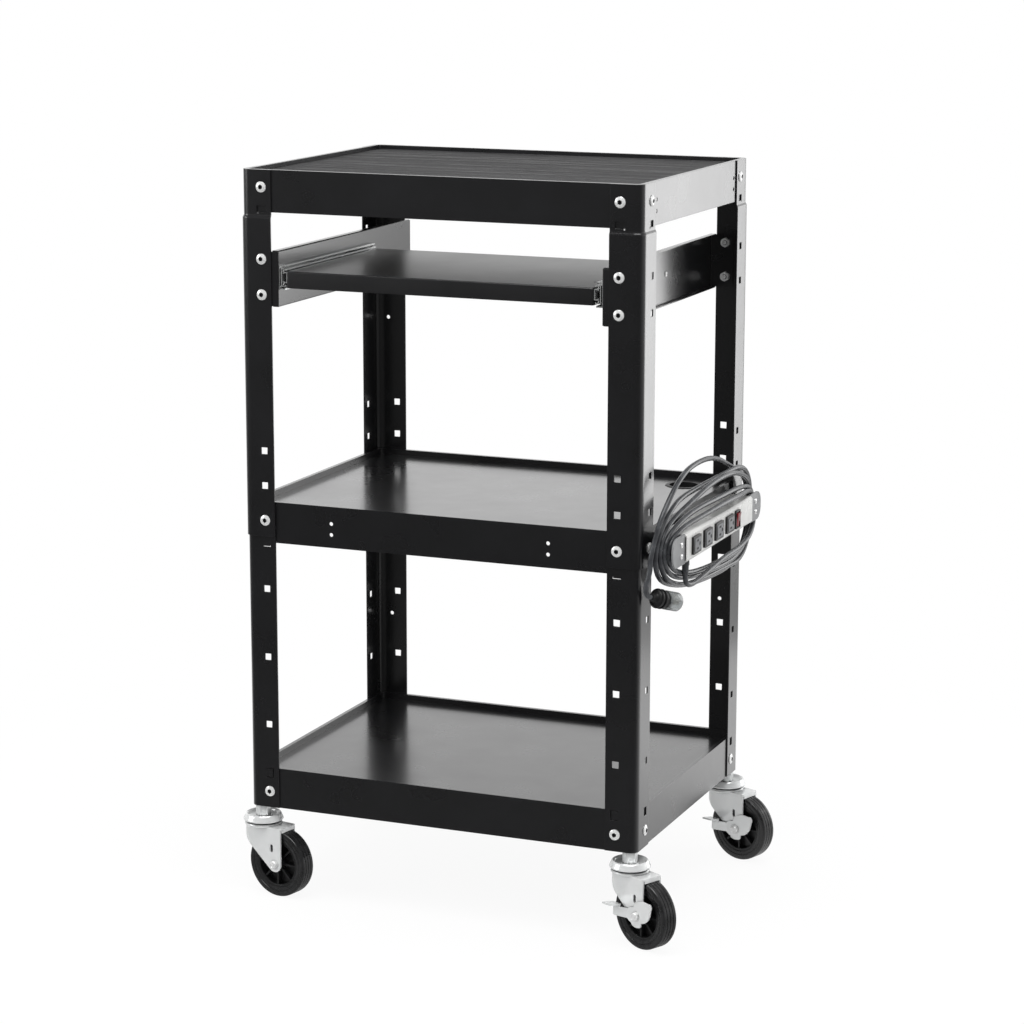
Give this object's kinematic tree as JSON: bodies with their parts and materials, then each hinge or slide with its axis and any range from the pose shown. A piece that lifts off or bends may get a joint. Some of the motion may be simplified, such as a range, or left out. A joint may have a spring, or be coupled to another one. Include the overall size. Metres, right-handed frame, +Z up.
{
  "type": "audio visual cart",
  "caption": "Tall steel audio visual cart on swivel casters, with open shelves, a sliding keyboard tray, a ribbed top mat and a side outlet strip with its wound cord.",
  "frame": {"origin": "on the floor, under the middle of the cart's box without its cord", "axes": "+X to the cart's right, where the outlet strip hangs; +Y to its back; +Z up, along its longest extent"},
  "size_m": [0.6874, 0.5063, 1.0683],
  "materials": {
    "black_powder_coat": "satin powder coat",
    "zinc_plate": "bright zinc plate",
    "bright_zinc": "polished",
    "rail_steel": "drawn",
    "ribbed_rubber": "matt",
    "tyre_rubber": "matt",
    "black_nylon": "moulded",
    "strip_enamel": "white enamel",
    "grey_plastic": "moulded",
    "standoff_steel": "black",
    "socket_plastic": "moulded",
    "red_rocker": "gloss",
    "cord_jacket": "satin vinyl",
    "plug_plastic": "moulded",
    "clear_cover": "translucent"
  },
  "bodies": {
    "frame": {"lower_post_front_left": "black_powder_coat", "lower_post_front_right": "black_powder_coat", "lower_post_back_left": "black_powder_coat", "lower_post_back_right": "black_powder_coat", "upper_post_front_left": "black_powder_coat", "upper_post_front_right": "black_powder_coat", "upper_post_back_left": "black_powder_coat", "upper_post_back_right": "black_powder_coat", "bottom_shelf": "black_powder_coat", "middle_shelf": "black_powder_coat", "top_shelf": "black_powder_coat", "cable_grommet": "black_nylon", "corner_gussets": "black_powder_coat", "top_mat": "ribbed_rubber", "frame_bolts": "bright_zinc", "frame_nuts": "zinc_plate", "tray_bracket_left": "black_powder_coat", "tray_bracket_right": "black_powder_coat", "outer_rail_left": "rail_steel", "outer_rail_right": "rail_steel", "slide_screws": "bright_zinc", "caster_stems": "zinc_plate", "stem_nuts": "zinc_plate", "strip_housing": "strip_enamel", "socket_inserts": "socket_plastic", "switch_bezel": "socket_plastic", "cord_gland": "grey_plastic", "strip_ends": "grey_plastic", "strip_standoffs": "standoff_steel", "standoff_screws": "bright_zinc", "cord_lead": "cord_jacket", "cord_winding": "cord_jacket", "cord_end": "cord_jacket", "plug": "plug_plastic", "plug_cover": "clear_cover"},
    "middle_rails": {"middle_rail_left": "rail_steel", "middle_rail_right": "rail_steel", "ball_retainers": "bright_zinc"},
    "keyboard_tray": {"keyboard_tray": "black_powder_coat", "inner_rail_left": "rail_steel", "inner_rail_right": "rail_steel"},
    "caster_front_left": {"fork_front_left": "zinc_plate", "axle_front_left": "zinc_plate"},
    "wheel_front_left": {"wheel_core_front_left": "black_nylon", "tyre_front_left": "tyre_rubber"},
    "caster_front_right": {"fork_front_right": "zinc_plate", "axle_front_right": "zinc_plate"},
    "wheel_front_right": {"wheel_core_front_right": "black_nylon", "tyre_front_right": "tyre_rubber"},
    "brake_front_right": {"brake_front_right": "zinc_plate"},
    "caster_back_left": {"fork_back_left": "zinc_plate", "axle_back_left": "zinc_plate"},
    "wheel_back_left": {"wheel_core_back_left": "black_nylon", "tyre_back_left": "tyre_rubber"},
    "caster_back_right": {"fork_back_right": "zinc_plate", "axle_back_right": "zinc_plate"},
    "wheel_back_right": {"wheel_core_back_right": "black_nylon", "tyre_back_right": "tyre_rubber"},
    "brake_back_right": {"brake_back_right": "zinc_plate"},
    "rocker_switch": {"rocker_switch": "red_rocker"}
  },
  "joints": [
    {"name": "tray_slide", "type": "slide", "parent": "frame", "child": "keyboard_tray", "axis": [0, -1, 0], "range_m": [0, 0.26]},
    {"name": "middle_slide", "type": "slide", "parent": "frame", "child": "middle_rails", "axis": [0, -1, 0], "range_m": [0, 0.13]},
    {"name": "swivel_front_left", "type": "hinge", "parent": "frame", "child": "caster_front_left", "pos_m": [-0.31458, -0.20464, 0.11], "axis": [0, 0, 1], "continuous": true},
    {"name": "spin_front_left", "type": "hinge", "parent": "caster_front_left", "child": "wheel_front_left", "pos_m": [-0.28227, -0.21139, 0.05], "axis": [0.2045, 0.9789, 0], "continuous": true},
    {"name": "swivel_front_right", "type": "hinge", "parent": "frame", "child": "caster_front_right", "pos_m": [0.26142, -0.20464, 0.11], "axis": [0, 0, 1], "continuous": true},
    {"name": "spin_front_right", "type": "hinge", "parent": "caster_front_right", "child": "wheel_front_right", "pos_m": [0.29096, -0.21936, 0.05], "axis": [0.4462, 0.8949, 0], "continuous": true},
    {"name": "press_front_right", "type": "hinge", "parent": "caster_front_right", "child": "brake_front_right", "pos_m": [0.29096, -0.21936, 0.05], "axis": [-0.4462, -0.8949, 0], "range_deg": [0, 15]},
    {"name": "swivel_back_left", "type": "hinge", "parent": "frame", "child": "caster_back_left", "pos_m": [-0.31458, 0.22336, 0.11], "axis": [0, 0, 1], "continuous": true},
    {"name": "spin_back_left", "type": "hinge", "parent": "caster_back_left", "child": "wheel_back_left", "pos_m": [-0.2827, 0.21482, 0.05], "axis": [0.2588, 0.9659, 0], "continuous": true},
    {"name": "swivel_back_right", "type": "hinge", "parent": "frame", "child": "caster_back_right", "pos_m": [0.26142, 0.22336, 0.11], "axis": [0, 0, 1], "continuous": true},
    {"name": "spin_back_right", "type": "hinge", "parent": "caster_back_right", "child": "wheel_back_right", "pos_m": [0.2927, 0.21283, 0.05], "axis": [0.319, 0.9478, 0], "continuous": true},
    {"name": "press_back_right", "type": "hinge", "parent": "caster_back_right", "child": "brake_back_right", "pos_m": [0.2927, 0.21283, 0.05], "axis": [-0.319, -0.9478, 0], "range_deg": [0, 15]},
    {"name": "rocker_tilt", "type": "hinge", "parent": "frame", "child": "rocker_switch", "pos_m": [0.31792, 0.07836, 0.559], "axis": [0, 1, 0], "range_deg": [-16, 0]}
  ],
  "couplings": [
    {"joint": "middle_slide", "follows": "tray_slide", "ratio": 0.5}
  ]
}
